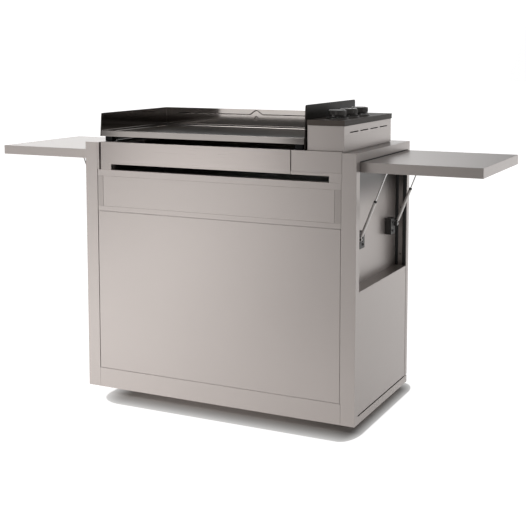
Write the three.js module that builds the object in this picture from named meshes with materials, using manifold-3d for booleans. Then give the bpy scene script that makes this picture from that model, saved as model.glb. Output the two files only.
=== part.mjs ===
// Gas flat-top griddle on a closed steel trolley with two folding side shelves.
// Millimetres, +Z up. The origin is on the floor under the middle of the trolley.
// The operator stands at -Y; left and right are the operator's.

import * as THREE from 'three';
import { mergeVertices } from 'three/addons/utils/BufferGeometryUtils.js';
import Module from 'manifold-3d';

const wasm = await Module();
wasm.setup();

// ---- general ----
const SHEET = 1.5;            // thickness of the folded steel sheet
const FIT = 0.3;              // gap between pieces that touch
const CUT = 1;                // how far a cutting tool runs past the face it opens
const ROUND = 24;             // sides of a round piece
const ROUND_PIN = 12;         // sides of a pin, stem or small hole
const PIN_RADIUS = 6.8;       // largest radius that counts as a pin

// ---- cabinet ----
const HALF_WIDTH = 525;
const HALF_DEPTH = 272.5;
const CABINET_LOW = 30;       // clearance under the skirt
const CABINET_TOP = 934;
const POST_WIDTH = 50;        // seen from the front
const FRONT_STILE = 32;       // depth of the front posts, seen from the side
const REAR_STILE = 24.5;
const TOP_RAIL = 28;
const SIDE_SKIRT = 26;
const GROOVE = 4;             // shadow gap above the side skirt
const BAY_HALF = HALF_WIDTH - POST_WIDTH;        // half the opening between the posts
const STILE_FRONT = -HALF_DEPTH + FRONT_STILE;   // back face of the front posts
const STILE_REAR = HALF_DEPTH - REAR_STILE;      // front face of the rear posts
const RAIL_LOW = CABINET_TOP - TOP_RAIL;

const RECESS = { wall: 480, ledge: 476 };        // side recess that takes a folded shelf
const FLOOR_TOP = 99;
const BOTTOM_RAIL_TOP = 101;
const DOOR = { low: 102.5, top: 684, left: -473, right: 471, front: -272, back: -252 };
const MID_RAIL = { top: 685.7, low: 655, back: -225, front: -258 };
const DRAWER = { low: 686.2, top: 835.5, left: -473.2, right: 472, front: -272, back: -252 };
const DRAWER_PANEL = { half: 452, low: 705.5, top: 813, depth: 5, groove: 1.2 };
const DRAWER_BOX = { half: 452, rear: 150, low: 700, top: 812 };
const RUNNER = { low: 742, top: 780, rear: 160, lip: 4 };
const GRIP_TOP = 856.5;       // top of the finger slot above the drawer
const GRIP = { left: -415, right: 430 };
const FILLER_RIGHT = -467;     // strip between the left post and the grease tray's front
const DECK = 868;             // level that the griddle stands on
const REAR_LEDGE = 200;       // front edge of the ledge at the back of the top
const VENT = { width: 80, height: 7, low: 130, pitch: 110, rise: 24 };

// ---- folding shelves ----
const SHELF = { near: 527, far: 927, front: -236.7, rear: 244.2, low: 870, top: 903 };
const HINGE = { x: 517, z: 896, rod: 5, ear: 7, earWidth: 2.5, earInset: 46 };
const STAY = { reach: 85, drop: 16, rod: 4, lug: 7, lugInset: 15 };   // upper strut pivot, from the hinge

// ---- struts ----
const STRUT = { plane: 185, footX: 507, footZ: 640, eye: 7, eyeHalf: 4, pin: 3.5, pinHole: 3.9 };
const CYLINDER = { radius: 5, neck: 3, start: 14, end: 138, bore: 2.9, boreEnd: 44 };
const PISTON_ROD = { radius: 2.5, inner: 134, eye: 6.5, neck: 3.4 };
const STRUT_BLOCK = { outer: 504, inner: 135, low: 606, top: 663, relief: 1, lug: 10, head: 2 };
const STAY_X = HINGE.x + STAY.reach;
const STAY_Z = HINGE.z - STAY.drop;
const STRUT_LENGTH = Math.hypot(STAY_X - STRUT.footX, STAY_Z - STRUT.footZ);
const STRUT_LEAN = Math.atan2(STAY_X - STRUT.footX, STAY_Z - STRUT.footZ);

// ---- casters ----
const CASTER = { x: 385, y: 165, trail: 28, axle: 4, bore: 4.4, stem: 5, crownLow: 86, crownTop: 92 };
const WHEEL = { radius: 37.5, half: 12, shoulder: 33, tread: 8 };
const FORK = { inner: 14, outer: 17, foot: 10 };

// ---- griddle ----
const CHASSIS = { left: -459, right: 474.4, back: 195, shoulder: -264, top: 937 };
const SEAM = 293.5;           // between the grease tray's front and the chassis front
const SEAM_GAP = 3;
const FASCIA = { low: 857, tabRight: -415, tabLow: 835.9, returnDepth: 8 };
const GREASE_PAN = { left: -440, right: 275, back: 150, low: 872, top: 896 };
const PLATE = { left: -456.7, right: 340.7, front: -272, back: 182.7, low: 956.5, lip: 978 };
const PLATE_TOP = 967;
const PLATE_BELOW = 961;
const PLATE_RIM = 5;
const FOOT = { width: 30, depth: 30, left: -450, right: 300, front: -255, back: 130 };
const FOOT_LEDGE = -388;      // inner edge of the chassis ledge under the left feet
const WALL = 4;               // thickness of the splash walls
const GUARD = { outer: -461, back: 187, top: 1040, setback: 7, corner: 9 };
const SHIELD = { left: 341, top: 1086, back: 182.4 };
const HOUSING = { left: 349, right: 478, front: -263.5, back: 195, top: 1019.7 };
const SLOT = { length: 74, height: 3.2, z: 996.5, first: -173, pitch: 96, count: 4 };
const COVER = { left: 347, right: 479.5, front: -265, back: 200, low: 1020, top: 1038 };
const BEZEL = { radius: 36, height: 3 };

// ---- gas controls and burners ----
const KNOB_X = 413;
const KNOB_Y = { front: -162, middle: -58, rear: 46 };
const KNOB = { low: 1045, waist: 27, shoulder: 1053, wide: 30.5, top: 1069, crown: 27.5 };
const STEM = { radius: 4, low: 940, top: 1063, bore: 4.3, hole: 6 };
const VALVE = { halfX: 16, halfY: 14, neck: 11, low: 893, top: 950, boreLow: 930 };
const MANIFOLD = { x: 441, z: 915, radius: 9, bore: 3, front: -190, nozzle: 224, nozzleRadius: 5 };
const BURNER = { radius: 14, z: 915, left: -400, right: 270, neck: 7 };
const HOSE_HOLE = 14;

// ---- materials ----
const finish = (color, roughness, metalness) => ({ color, roughness, metalness });
const FINISHES = {
  cabinet: finish(0xb8aea6, 0.42, 0.75),
  frame: finish(0xa9a098, 0.42, 0.75),
  fascia: finish(0xd9d6d0, 0.28, 0.9),
  enamel: finish(0x24221f, 0.3, 0.2),
  cover: finish(0x38332f, 0.5, 0.3),
  knob: finish(0x4a4641, 0.4, 0.2),
  steel: finish(0x8f8d8a, 0.35, 0.9),
  chrome: finish(0xd8d8d8, 0.15, 1.0),
  brass: finish(0xb08d4a, 0.35, 0.9),
  bracket: finish(0x161514, 0.6, 0.1),
  tyre: finish(0x2b2a29, 0.8, 0.0),
};

// ---- solids ----
function toSolid(geometry) {
  const bare = geometry.index ? geometry.toNonIndexed() : geometry.clone();
  bare.deleteAttribute('normal');
  bare.deleteAttribute('uv');
  const merged = mergeVertices(bare, 1e-4);
  const corners = merged.index.array;
  const kept = [];
  for (let i = 0; i < corners.length; i += 3) {
    const [a, b, c] = corners.slice(i, i + 3);
    if (a !== b && b !== c && c !== a) kept.push(a, b, c);
  }
  return new wasm.Manifold(new wasm.Mesh({
    numProp: 3,
    vertProperties: Float32Array.from(merged.attributes.position.array),
    triVerts: Uint32Array.from(kept),
  }));
}

function toGeometry(solid) {
  const mesh = solid.getMesh();
  const geometry = new THREE.BufferGeometry();
  geometry.setAttribute('position', new THREE.BufferAttribute(mesh.vertProperties, 3));
  geometry.setIndex(new THREE.BufferAttribute(mesh.triVerts, 1));
  geometry.computeVertexNormals();
  return geometry;
}

const join = (...solids) => solids.reduce((sum, solid) => sum.add(solid));
const cut = (solid, ...tools) => tools.reduce((rest, tool) => rest.subtract(tool), solid);

function box(x, y, z) {
  const sizes = [x, y, z].map(([a, b]) => Math.abs(b - a));
  const middles = [x, y, z].map(([a, b]) => (a + b) / 2);
  return toSolid(new THREE.BoxGeometry(...sizes).translate(...middles));
}

// A round bar along an axis. `at` gives its two other coordinates, in X, Y, Z order.
function bar(axis, radius, at, from, to) {
  const around = radius < PIN_RADIUS ? ROUND_PIN : ROUND;
  const geometry = new THREE.CylinderGeometry(radius, radius, Math.abs(to - from), around);
  const middle = (from + to) / 2;
  if (axis === 'x') geometry.rotateZ(Math.PI / 2).translate(middle, at[0], at[1]);
  if (axis === 'y') geometry.translate(at[0], middle, at[1]);
  if (axis === 'z') geometry.rotateX(Math.PI / 2).translate(at[0], at[1], middle);
  return toSolid(geometry);
}

// An outline extruded along X, with its points in Y and Z, or along Y, with its points in X and Z.
function extruded(axis, outline, from, to) {
  const shape = outline instanceof THREE.Shape
    ? outline
    : new THREE.Shape(outline.map(([u, v]) => new THREE.Vector2(u, v)));
  const depth = to - from;
  const geometry = new THREE.ExtrudeGeometry(shape, { depth, bevelEnabled: false, curveSegments: 5 });
  if (axis === 'x') geometry.rotateX(Math.PI / 2).rotateZ(Math.PI / 2).translate(from, 0, 0);
  if (axis === 'y') geometry.rotateX(Math.PI / 2).translate(0, to, 0);
  return toSolid(geometry);
}

// A turned piece about Z: the profile's points are radius and height.
function turned(profile, at = [0, 0]) {
  const points = profile.map(([radius, height]) => new THREE.Vector2(radius, height));
  return toSolid(new THREE.LatheGeometry(points, ROUND).rotateX(Math.PI / 2).translate(at[0], at[1], 0));
}

// A box of sheet: the outside less its inside, which is one sheet smaller on each closed face.
// `open` names the faces that have no wall, such as 'z-'.
function sheetBox(x, y, z, open) {
  const inside = [x, y, z].map((range, i) => {
    const [low, high] = [Math.min(...range), Math.max(...range)];
    const letter = 'xyz'[i];
    return [
      open.includes(`${letter}-`) ? low - CUT : low + SHEET,
      open.includes(`${letter}+`) ? high + CUT : high - SHEET,
    ];
  });
  return cut(box(x, y, z), box(...inside));
}

const griddle = new THREE.Group();

function part(name, solid, look, group = griddle) {
  const mesh = new THREE.Mesh(toGeometry(solid), new THREE.MeshStandardMaterial(FINISHES[look]));
  mesh.name = name;
  group.add(mesh);
}

// ---- cabinet sides ----
function sideFrame(name, s) {
  const postX = [s * BAY_HALF, s * HALF_WIDTH];
  const hollowX = [s * (BAY_HALF + SHEET), s * (HALF_WIDTH - SHEET)];
  const rail = [STILE_FRONT - SHEET - CUT, STILE_REAR + SHEET + CUT];
  const skirtTop = CABINET_LOW + SIDE_SKIRT;
  const outside = join(
    box(postX, [-HALF_DEPTH, STILE_FRONT], [CABINET_LOW, CABINET_TOP]),
    box(postX, [STILE_REAR, HALF_DEPTH], [CABINET_LOW, CABINET_TOP]),
    box(postX, rail, [RAIL_LOW, CABINET_TOP]),
    box(postX, rail, [CABINET_LOW, skirtTop]),
  );
  const hollow = join(
    box(hollowX, [-HALF_DEPTH + SHEET, STILE_FRONT - SHEET], [CABINET_LOW - CUT, CABINET_TOP - SHEET]),
    box(hollowX, [STILE_REAR + SHEET, HALF_DEPTH - SHEET], [CABINET_LOW - CUT, CABINET_TOP - SHEET]),
    box(hollowX, rail, [RAIL_LOW + SHEET, CABINET_TOP - SHEET]),
    box(hollowX, rail, [CABINET_LOW - CUT, skirtTop - SHEET]),
  );
  const hingeHoles = bar('y', HINGE.rod + FIT, [s * HINGE.x, HINGE.z],
    STILE_FRONT - 2 * SHEET, STILE_REAR + 2 * SHEET);
  const groove = box([s * (HALF_WIDTH - GROOVE), s * (HALF_WIDTH + CUT)],
    [STILE_REAR - CUT, HALF_DEPTH + CUT], [skirtTop, skirtTop + GROOVE]);
  part(name, cut(outside, hollow, hingeHoles, groove), 'frame');
}

function recessPanel(name, s) {
  const x = [s * (RECESS.wall - SHEET), s * (HALF_WIDTH - FIT)];
  const pan = sheetBox(x, [STILE_FRONT + FIT, STILE_REAR - FIT], [RECESS.ledge - SHEET, RAIL_LOW - FIT],
    [s > 0 ? 'x+' : 'x-']);
  const hingeHoles = bar('y', HINGE.rod + FIT, [s * HINGE.x, HINGE.z], STILE_FRONT, STILE_REAR);
  part(name, cut(pan, hingeHoles), 'frame');
}

function lowerSidePanel(name, s) {
  const flange = 20;
  const inset = 0.8;
  const face = HALF_WIDTH - inset;
  const low = CABINET_LOW + SIDE_SKIRT + GROOVE;
  part(name, sheetBox([s * (face - flange), s * face], [STILE_FRONT + FIT, STILE_REAR - FIT],
    [low, RECESS.ledge - SHEET - FIT], [s > 0 ? 'x-' : 'x+']), 'frame');
}

// ---- cabinet front, floor and back ----
const bayX = [-BAY_HALF + FIT, BAY_HALF - FIT];

function baseTray() {
  const tray = sheetBox(bayX, [STILE_FRONT + FIT, HALF_DEPTH - 4 * SHEET],
    [CABINET_LOW + SIDE_SKIRT + GROOVE, FLOOR_TOP], ['z-']);
  const stemHoles = [-1, 1].flatMap((sx) => [-1, 1].map((sy) => (
    bar('z', CASTER.stem + FIT, [sx * CASTER.x, sy * CASTER.y], FLOOR_TOP - SHEET - CUT, FLOOR_TOP + CUT))));
  part('base_tray', cut(tray, ...stemHoles), 'frame');
}

function frontBottomRail(pivot) {
  const channel = sheetBox(bayX, [-HALF_DEPTH, STILE_FRONT], [CABINET_LOW, BOTTOM_RAIL_TOP], ['y+']);
  const pivotHole = bar('z', pivot.radius + FIT, pivot.at,
    BOTTOM_RAIL_TOP - 2 * SHEET, BOTTOM_RAIL_TOP + CUT);
  part('front_bottom_rail', cut(channel, pivotHole), 'cabinet');
}

function midRail(pivot) {
  const tongue = 12;
  const flange = box(bayX, [MID_RAIL.front, MID_RAIL.back], [MID_RAIL.top - SHEET, MID_RAIL.top]);
  const web = box(bayX, [MID_RAIL.back - SHEET, MID_RAIL.back], [MID_RAIL.low, MID_RAIL.top]);
  const ear = box([bayX[0], pivot.at[0] + tongue], [-HALF_DEPTH + SHEET, MID_RAIL.front + CUT],
    [MID_RAIL.top - SHEET, MID_RAIL.top]);
  const pivotHole = bar('z', pivot.radius + FIT, pivot.at, MID_RAIL.top - 2 * SHEET, MID_RAIL.top + CUT);
  part('mid_rail', cut(join(flange, web, ear), pivotHole), 'frame');
}

// The rail over the finger slot. It is set back behind the grease tray's front and flush beside it.
function frontTopRail() {
  const back = STILE_FRONT;
  const setback = -262;
  const flushLeft = SEAM + FIT;
  const end = [DRAWER.top + FIT, DECK];
  const strip = sheetBox([bayX[0], flushLeft], [setback, back], [GRIP_TOP, DECK], ['z-', 'x+']);
  const flush = sheetBox([flushLeft - CUT, bayX[1]], [-HALF_DEPTH, back], [GRIP_TOP, DECK],
    ['z-', 'x-', 'y+']);
  const leftEnd = sheetBox([bayX[0], GRIP.left], [setback, back], end, ['y+']);
  const rightEnd = sheetBox([GRIP.right, bayX[1]], [-HALF_DEPTH, back], end, ['y+']);
  const filler = sheetBox([bayX[0], FILLER_RIGHT], [-HALF_DEPTH, back], [end[0], CABINET_TOP], ['y+', 'z-']);
  part('front_top_rail', join(strip, flush, leftEnd, rightEnd, filler), 'cabinet');
}

function backPanel() {
  const outer = HALF_DEPTH - FIT;
  const inner = outer - SHEET;
  const low = CABINET_LOW + SIDE_SKIRT + GROOVE;
  const foot = 35;
  const folded = extruded('x', [
    [inner, low], [outer, low], [outer, CABINET_TOP], [REAR_LEDGE, CABINET_TOP], [REAR_LEDGE, DECK],
    [REAR_LEDGE - foot, DECK], [REAR_LEDGE - foot, DECK - SHEET], [REAR_LEDGE + SHEET, DECK - SHEET],
    [REAR_LEDGE + SHEET, CABINET_TOP - SHEET], [inner, CABINET_TOP - SHEET],
  ], ...bayX);
  const hoseHole = bar('y', HOSE_HOLE, [MANIFOLD.x, MANIFOLD.z], REAR_LEDGE - CUT, REAR_LEDGE + SHEET + CUT);
  const vents = [-1.5, -0.5, 0.5, 1.5].flatMap((column) => [0, 1, 2].map((row) => {
    const x = column * VENT.pitch;
    const z = VENT.low + row * VENT.rise;
    return box([x - VENT.width / 2, x + VENT.width / 2], [inner - CUT, outer + CUT], [z, z + VENT.height]);
  }));
  part('back_panel', cut(folded, hoseHole, ...vents), 'frame');
}

// ---- door ----
function door(pivot) {
  const skin = sheetBox([DOOR.left, DOOR.right], [DOOR.front, DOOR.back], [DOOR.low, DOOR.top], ['y+']);
  const lip = 22;
  const backLips = cut(
    box([DOOR.left, DOOR.right], [DOOR.back - SHEET, DOOR.back], [DOOR.low, DOOR.top]),
    box([DOOR.left + lip, DOOR.right - lip], [DOOR.back - SHEET - CUT, DOOR.back + CUT],
      [DOOR.low + lip, DOOR.top - lip]),
  );
  const pivotHoles = bar('z', pivot.radius + FIT, pivot.at, DOOR.low - CUT, DOOR.top + CUT);
  part('door', cut(join(skin, backLips), pivotHoles), 'cabinet');
  part('door_pivot_rod',
    bar('z', pivot.radius, pivot.at, BOTTOM_RAIL_TOP - SHEET - CUT, MID_RAIL.top - FIT), 'steel');
}

// ---- drawer ----
// Its front slopes in from the edge to a recessed panel with a fine groove round it.
function drawerFront() {
  const { left, right, front, back, low, top } = DRAWER;
  const panel = DRAWER_PANEL;
  const sunk = front + panel.depth;
  const ring = (x0, x1, z0, z1, y) => [[x0, z0], [x1, z0], [x1, z1], [x0, z1]].map(
    ([x, z]) => new THREE.Vector3(x, y, z));
  const edge = 0.6;
  const dish = toSolid(frustum(
    ring(left + edge, right - edge, low + edge, top - edge, front - CUT),
    ring(-panel.half, panel.half, panel.low, panel.top, sunk),
  ));
  const groove = cut(
    box([-panel.half, panel.half], [sunk - CUT, sunk + panel.groove], [panel.low, panel.top]),
    box([-panel.half + panel.groove, panel.half - panel.groove], [sunk - 2 * CUT, sunk + 2 * CUT],
      [panel.low + panel.groove, panel.top - panel.groove]),
  );
  const inside = box([left + SHEET, right - SHEET], [sunk + 2 * SHEET, back + CUT],
    [low + SHEET, top - SHEET]);
  part('drawer_front', cut(box([left, right], [front, back], [low, top]), dish, groove, inside), 'cabinet');
}

// A solid between two four-cornered rings whose corners run the same way round.
function frustum(near, far) {
  const corners = [...near, ...far];
  const flanks = [0, 1, 2, 3].flatMap((i) => {
    const next = (i + 1) % 4;
    return [i, i + 4, next, next, i + 4, next + 4];
  });
  const ends = [0, 1, 2, 0, 2, 3, 4, 6, 5, 4, 7, 6];
  const geometry = new THREE.BufferGeometry().setFromPoints(corners);
  geometry.setIndex([...flanks, ...ends]);
  return geometry;
}

function drawerBox() {
  const { half, rear, low, top } = DRAWER_BOX;
  const tub = sheetBox([-half, half], [DRAWER.back + FIT, rear], [low, top], ['z+']);
  const slide = 12;
  const profiles = [-1, 1].map((s) => sheetBox([s * (half - FIT), s * (half + slide)],
    [DRAWER.back + FIT, rear], [RUNNER.low + RUNNER.lip, RUNNER.top - RUNNER.lip],
    [s > 0 ? 'x-' : 'x+', 'y-', 'y+']));
  part('drawer_box', join(tub, ...profiles), 'steel');
}

function drawerRunner(name, s) {
  const across = [s * (DRAWER_BOX.half + SHEET), s * (RECESS.wall - SHEET - FIT)];
  part(name, sheetBox(across, [STILE_FRONT + FIT, RUNNER.rear], [RUNNER.low, RUNNER.top],
    [s > 0 ? 'x-' : 'x+', 'y-', 'y+']), 'steel');
}

// ---- folding shelves and their struts ----
function shelf(side, s) {
  const outward = [s * SHELF.near, s * SHELF.far];
  const tray = sheetBox(outward, [SHELF.front, SHELF.rear], [SHELF.low, SHELF.top], ['z-']);
  const earOutline = new THREE.Shape();
  earOutline.absarc(HINGE.x, HINGE.z, HINGE.ear, Math.PI / 2, Math.PI * 1.5, false);
  earOutline.lineTo(SHELF.near + SHEET, HINGE.z - HINGE.ear);
  earOutline.lineTo(SHELF.near + SHEET, HINGE.z + HINGE.ear);
  const ears = [SHELF.front + HINGE.earInset, SHELF.rear - HINGE.earInset - HINGE.earWidth].map((from) => (
    extruded('y', s > 0 ? earOutline : mirrored(earOutline), from, from + HINGE.earWidth)));
  const rodHoles = bar('y', HINGE.rod + FIT, [s * HINGE.x, HINGE.z], SHELF.front - CUT, SHELF.rear + CUT);
  part(`shelf_${side}`, cut(join(tray, ...ears), rodHoles), 'cabinet');
  part(`shelf_hinge_rod_${side}`, bar('y', HINGE.rod, [s * HINGE.x, HINGE.z],
    STILE_FRONT - 2 * SHEET, STILE_REAR + 2 * SHEET), 'steel');
  stayBar(`shelf_stay_bar_${side}`, s);
}

function mirrored(outline) {
  return new THREE.Shape(outline.getPoints(5).reverse().map((p) => new THREE.Vector2(-p.x, p.y)));
}

// A strap under the shelf with two lugs that carry the pins of the upper strut pivots.
// The pins stop just short of the strut eyes.
function stayBar(name, s) {
  const pinEnd = STRUT.plane - STRUT.eyeHalf - 2 * FIT;
  const under = SHELF.top - SHEET - FIT;
  const strapX = [s * (STAY_X - 2 * STAY.lug), s * (STAY_X + 2 * STAY.lug)];
  const lugX = [s * (STAY_X - STAY.lug), s * (STAY_X + STAY.lug)];
  const strap = box(strapX, [-pinEnd, pinEnd], [under - 2, under]);
  const pin = bar('y', STAY.rod, [s * STAY_X, STAY_Z], -pinEnd, pinEnd);
  const lugs = [-1, 1].map((side) => box(lugX,
    [side * (pinEnd - STAY.lugInset), side * (pinEnd - STAY.lugInset + 4)], [STAY_Z - STAY.lug, under]));
  part(name, join(strap, pin, ...lugs), 'steel');
}

// A block on the recess wall whose pin carries the lower eye of a strut.
function strutBlock(name, s, end) {
  const face = STRUT.plane - STRUT.eyeHalf - 2 * FIT;
  const block = box([s * (RECESS.wall + FIT), s * STRUT_BLOCK.outer],
    [end * STRUT_BLOCK.inner, end * (face - STRUT_BLOCK.relief)], [STRUT_BLOCK.low, STRUT_BLOCK.top]);
  const lug = box([s * (STRUT_BLOCK.outer - CUT), s * (STRUT.footX + STRUT.eye)],
    [end * (face - STRUT_BLOCK.lug), end * face], [STRUT.footZ - STRUT.eye, STRUT.footZ + STRUT.eye]);
  const pinEnd = STRUT.plane + STRUT.eyeHalf + 2 * FIT;
  const pin = bar('y', STRUT.pin, [s * STRUT.footX, STRUT.footZ], end * (face - CUT), end * (pinEnd + CUT));
  const head = bar('y', STRUT.pin + 1.5, [s * STRUT.footX, STRUT.footZ],
    end * pinEnd, end * (pinEnd + STRUT_BLOCK.head));
  part(name, join(block, lug, pin, head), 'bracket');
}

// A strut stands along its own Z from the foot pivot, and its group leans it to the shelf.
function strut(place, s, end) {
  const group = new THREE.Group();
  group.position.set(s * STRUT.footX, end * STRUT.plane, STRUT.footZ);
  group.rotation.y = s * STRUT_LEAN;
  griddle.add(group);
  const eyeWidth = [-STRUT.eyeHalf, STRUT.eyeHalf];
  const tube = cut(
    join(
      bar('y', STRUT.eye, [0, 0], ...eyeWidth),
      bar('z', CYLINDER.neck, [0, 0], STRUT.eye - CUT, CYLINDER.start + CUT),
      bar('z', CYLINDER.radius, [0, 0], CYLINDER.start, CYLINDER.end),
    ),
    bar('y', STRUT.pinHole, [0, 0], -2 * STRUT.eyeHalf, 2 * STRUT.eyeHalf),
    bar('z', CYLINDER.bore, [0, 0], CYLINDER.boreEnd, CYLINDER.end + CUT),
  );
  const top = STRUT_LENGTH;
  const piston = cut(
    join(
      bar('z', PISTON_ROD.radius, [0, 0], PISTON_ROD.inner, top - PISTON_ROD.eye + CUT),
      bar('z', PISTON_ROD.neck, [0, 0], top - 3 * PISTON_ROD.eye, top - PISTON_ROD.eye + CUT),
      bar('y', PISTON_ROD.eye, [0, top], ...eyeWidth),
    ),
    bar('y', STAY.rod + FIT, [0, top], -2 * STRUT.eyeHalf, 2 * STRUT.eyeHalf),
  );
  part(`strut_cylinder_${place}`, tube, 'steel', group);
  part(`strut_rod_${place}`, piston, 'chrome', group);
}

// ---- casters ----
// A caster stands on its own swivel axis and trails its wheel along its own +Y.
function caster(place, sx, sy) {
  const group = new THREE.Group();
  group.position.set(sx * CASTER.x, sy * CASTER.y, 0);
  griddle.add(group);
  const { trail, crownLow, crownTop } = CASTER;
  const crownHalf = 20;
  const leg = [
    [-crownHalf, crownTop], [-crownHalf, crownLow],
    [trail - FORK.foot, WHEEL.radius], [trail - FORK.foot, WHEEL.radius - FORK.foot],
    [trail + FORK.foot, WHEEL.radius - FORK.foot], [trail + FORK.foot, WHEEL.radius + FORK.foot],
    [crownHalf, crownTop],
  ];
  const fork = join(
    box([-FORK.outer, FORK.outer], [-crownHalf, crownHalf], [crownLow, crownTop]),
    extruded('x', leg, FORK.inner, FORK.outer),
    extruded('x', leg, -FORK.outer, -FORK.inner),
    bar('x', CASTER.axle, [trail, WHEEL.radius], -FORK.outer, FORK.outer),
    bar('z', CASTER.stem, [0, 0], crownLow + CUT, FLOOR_TOP + 5),
  );
  part(`caster_fork_${place}`, fork, 'steel', group);
  const wheel = new THREE.LatheGeometry([
    [CASTER.bore, -WHEEL.half], [WHEEL.shoulder, -WHEEL.half], [WHEEL.radius, -WHEEL.tread],
    [WHEEL.radius, WHEEL.tread], [WHEEL.shoulder, WHEEL.half], [CASTER.bore, WHEEL.half],
    [CASTER.bore, -WHEEL.half],
  ].map(([radius, across]) => new THREE.Vector2(radius, across)), ROUND);
  wheel.rotateZ(-Math.PI / 2).translate(0, trail, WHEEL.radius);
  part(`caster_wheel_${place}`, toSolid(wheel), 'tyre', group);
}

// ---- griddle body ----
function chassis() {
  const { left, right, back, shoulder, top } = CHASSIS;
  const low = DECK + FIT;
  const wall = SEAM + SEAM_GAP / 2;
  const outside = join(
    box([left, right], [shoulder, back], [low, top]),
    box([wall, right], [-HALF_DEPTH, shoulder + CUT], [low, top]),
  );
  const inside = [low + SHEET, top - SHEET];
  const burnerBay = box([left + SHEET, wall - SHEET], [shoulder - CUT, back - SHEET], inside);
  const mouth = box([FOOT_LEDGE, wall - SHEET], [shoulder - CUT, back - SHEET], [top - 2 * SHEET, top + CUT]);
  const ledgeFront = box([left - CUT, FOOT_LEDGE + CUT], [shoulder - CUT, FOOT.front - SHEET],
    [low - CUT, top + CUT]);
  const valveBay = box([wall + SHEET, right - SHEET], [-HALF_DEPTH + SHEET, back - SHEET], inside);
  const gasHole = bar('y', HOSE_HOLE, [MANIFOLD.x, MANIFOLD.z], back - SHEET - CUT, back + CUT);
  const perBurner = Object.values(KNOB_Y).flatMap((y) => [
    bar('x', BURNER.radius + FIT, [y, BURNER.z], wall - SHEET - CUT, wall + SHEET + CUT),
    box([KNOB_X - VALVE.halfX - FIT, KNOB_X + VALVE.halfX + FIT],
      [y - VALVE.halfY - FIT, y + VALVE.halfY + FIT], [top - SHEET - CUT, top + CUT]),
  ]);
  const openings = [burnerBay, mouth, ledgeFront, valveBay, gasHole, ...perBurner];
  part('griddle_chassis', cut(outside, ...openings), 'cabinet');
}

function greaseTray() {
  const right = SEAM - SEAM_GAP / 2;
  const front = -HALF_DEPTH;
  const returnBack = front + FASCIA.returnDepth;
  const face = join(
    sheetBox([CHASSIS.left, right], [front, returnBack - FIT], [FASCIA.low, CHASSIS.top], ['y+', 'z-']),
    sheetBox([CHASSIS.left, FASCIA.tabRight], [front, returnBack - FIT], [FASCIA.tabLow, FASCIA.low + CUT],
      ['y+', 'z+']),
  );
  const pan = sheetBox([GREASE_PAN.left, GREASE_PAN.right], [front + SHEET - FIT, GREASE_PAN.back],
    [GREASE_PAN.low, GREASE_PAN.top], ['z+']);
  part('grease_tray', join(face, pan), 'fascia');
}

function griddlePlate() {
  const { left, right, front, back, low, lip } = PLATE;
  const inner = [[left + PLATE_RIM, right - PLATE_RIM], [front + PLATE_RIM, back - PLATE_RIM]];
  const pan = cut(
    box([left, right], [front, back], [low, lip]),
    box(...inner, [PLATE_TOP, lip + CUT]),
    box(...inner, [low - CUT, PLATE_BELOW]),
  );
  const feet = [FOOT.left, FOOT.right].flatMap((x) => [FOOT.front, FOOT.back].map((y) => (
    box([x, x + FOOT.width], [y, y + FOOT.depth], [CHASSIS.top + FIT, PLATE_BELOW + CUT]))));
  part('griddle_plate', join(pan, ...feet), 'enamel');
}

// Side wall outline in Y and Z: the front edge leans back and the front top corner is rounded.
function wallOutline(low, top, back, rearCorner) {
  const outline = new THREE.Shape();
  const front = PLATE.front + GUARD.setback;
  outline.moveTo(PLATE.front, low);
  outline.lineTo(back, low);
  outline.lineTo(back, top - rearCorner);
  if (rearCorner > 0) {
    outline.quadraticCurveTo(back, top, back - rearCorner, top);
  }
  outline.lineTo(front + GUARD.corner, top);
  outline.quadraticCurveTo(front, top, front, top - GUARD.corner);
  return outline;
}

function splashGuard() {
  const outline = wallOutline(PLATE.low, GUARD.top, GUARD.back, 0);
  const left = extruded('x', outline, GUARD.outer, GUARD.outer + WALL);
  const rear = box([GUARD.outer, SHIELD.left + WALL], [GUARD.back - WALL, GUARD.back],
    [PLATE.low, GUARD.top]);
  part('splash_guard', join(left, rear), 'enamel');
}

function heatShield() {
  const outline = wallOutline(CHASSIS.top + FIT, SHIELD.top, SHIELD.back, GUARD.corner);
  part('heat_shield', extruded('x', outline, SHIELD.left, SHIELD.left + WALL), 'enamel');
}

// ---- control box ----
function controlHousing() {
  const { left, right, front, back, top } = HOUSING;
  const shell = sheetBox([left, right], [front, back], [CHASSIS.top + FIT, top], ['z-', 'z+']);
  const slots = Array.from({ length: SLOT.count }, (_, i) => {
    const middle = SLOT.first + i * SLOT.pitch;
    return box([right - SHEET - CUT, right + CUT], [middle - SLOT.length / 2, middle + SLOT.length / 2],
      [SLOT.z - SLOT.height / 2, SLOT.z + SLOT.height / 2]);
  });
  part('control_housing', cut(shell, ...slots), 'cabinet');
}

function controlCover() {
  const { left, right, front, back, low, top } = COVER;
  const lid = sheetBox([left, right], [front, back], [low, top], ['z-']);
  const rows = Object.values(KNOB_Y);
  const bezels = rows.map((y) => bar('z', BEZEL.radius, [KNOB_X, y], top - CUT, top + BEZEL.height));
  const stemHoles = rows.map((y) => bar('z', STEM.hole, [KNOB_X, y], low, top + 2 * BEZEL.height));
  part('control_cover', cut(join(lid, ...bezels), ...stemHoles), 'cover');
}

function knob(place, y) {
  part(`knob_${place}`, turned([
    [0, STEM.top + CUT], [STEM.bore, STEM.top + CUT], [STEM.bore, KNOB.low], [KNOB.waist, KNOB.low],
    [KNOB.waist, KNOB.shoulder], [KNOB.wide, KNOB.shoulder + 2], [KNOB.wide, KNOB.top - 4],
    [KNOB.crown, KNOB.top], [0, KNOB.top],
  ], [KNOB_X, y]), 'knob');
  part(`valve_stem_${place}`, bar('z', STEM.radius, [KNOB_X, y], STEM.low, STEM.top), 'steel');
}

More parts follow.
